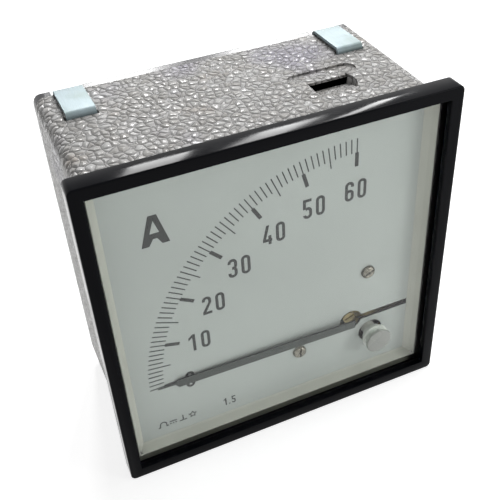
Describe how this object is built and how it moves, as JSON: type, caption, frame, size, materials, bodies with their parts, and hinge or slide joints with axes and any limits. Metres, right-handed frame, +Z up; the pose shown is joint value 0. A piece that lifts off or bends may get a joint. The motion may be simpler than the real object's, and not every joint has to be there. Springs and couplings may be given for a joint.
{
  "type": "analog panel meter",
  "caption": "Square panel-mounting moving-coil ammeter with a quadrant scale, black bezel, glass front, steel case and rear terminals.",
  "frame": {"origin": "centre of the bezel's rear face, on the panel's front surface and on the middle of the panel cut-out", "axes": "+X to the right seen from the front, +Y into the panel towards the terminals, +Z up"},
  "size_m": [0.096, 0.0661, 0.096],
  "materials": {
    "bezel_black": "gloss black moulding with a faint blue sheen",
    "gasket_rubber": "matte black rubber",
    "window_glass": "clear float glass",
    "liner_cream": "cream satin moulding",
    "case_hammertone": "grey hammertone enamel on sheet steel",
    "base_bakelite": "gloss black phenolic moulding",
    "clip_zinc": "bright zinc plate with a bluish tint",
    "terminal_brass": "turned brass",
    "tinned_brass": "tinned brass sheet",
    "dial_white": "pale grey-green satin paint on aluminium",
    "dial_ink": "matte black printing ink",
    "screw_nickel": "dull nickel plate",
    "frame_casting": "as-cast aluminium",
    "soft_iron": "ground soft iron",
    "magnet_alloy": "dark magnet alloy",
    "bridge_brass": "dull sheet brass",
    "insulator_fibre": "red fibre",
    "jewel_ruby": "synthetic ruby",
    "spring_bronze": "phosphor bronze strip",
    "staff_steel": "polished steel",
    "former_aluminium": "bright aluminium strip",
    "coil_copper": "enamelled copper wire",
    "pointer_dark": "dark grey-green enamel",
    "adjuster_white": "white polished plastic",
    "bobbin_brown": "brown phenolic",
    "resistance_wire": "varnished resistance wire",
    "wire_insulation": "wire insulation"
  },
  "bodies": {
    "case": {"bezel_frame": "bezel_black", "window_gasket": "gasket_rubber", "front_glass": "window_glass", "dial_liner": "liner_cream", "case_shell": "case_hammertone", "base_plate": "base_bakelite", "retaining_clips": "clip_zinc", "terminal_studs": "terminal_brass", "terminal_washers": "screw_nickel", "terminal_nuts": "terminal_brass", "solder_tags": "tinned_brass", "dial_plate": "dial_white", "dial_print": "dial_ink", "dial_screws": "screw_nickel", "movement_frame": "frame_casting", "frame_screws": "screw_nickel", "yoke_ring": "soft_iron", "yoke_screws": "screw_nickel", "core_magnet": "magnet_alloy", "bridge_insulators": "insulator_fibre", "front_bridge": "bridge_brass", "bridge_screws": "screw_nickel", "front_jewel_screw": "bridge_brass", "rear_bridge": "bridge_brass", "rear_bridge_screws": "screw_nickel", "rear_jewel_screw": "bridge_brass", "jewels": "jewel_ruby", "lever_washer": "spring_bronze", "rear_hairspring": "spring_bronze", "resistor_bobbin": "bobbin_brown", "resistor_winding": "resistance_wire", "resistor_screw": "screw_nickel", "hookup_wires": "wire_insulation"},
    "zero_adjuster": {"zero_adjuster": "adjuster_white", "adjuster_clip": "adjuster_white"},
    "zero_lever": {"zero_lever": "bridge_brass", "front_hairspring": "spring_bronze"},
    "moving_coil": {"pointer": "pointer_dark", "pointer_hub": "bridge_brass", "balance_weights": "bridge_brass", "front_staff": "staff_steel", "rear_staff": "staff_steel", "coil_former": "former_aluminium", "coil_winding": "coil_copper"}
  },
  "joints": [
    {"name": "zero_lever_swing", "type": "hinge", "parent": "case", "child": "zero_lever", "pos_m": [0.0232, 0.004, -0.0238], "axis": [0, 1, 0], "range_deg": [-4.2, 4.2]},
    {"name": "pointer_swing", "type": "hinge", "parent": "zero_lever", "child": "moving_coil", "pos_m": [0.0232, 0.02, -0.0238], "axis": [0, 1, 0], "range_deg": [-2, 92], "stiffness_Nm_per_rad": 0.003},
    {"name": "zero_adjuster_turn", "type": "hinge", "parent": "case", "child": "zero_adjuster", "pos_m": [0.0298, -0.002, -0.0304], "axis": [0, 1, 0], "range_deg": [-30, 30]}
  ],
  "couplings": [
    {"joint": "zero_adjuster_turn", "follows": "zero_lever_swing", "ratio": -7.1429}
  ]
}
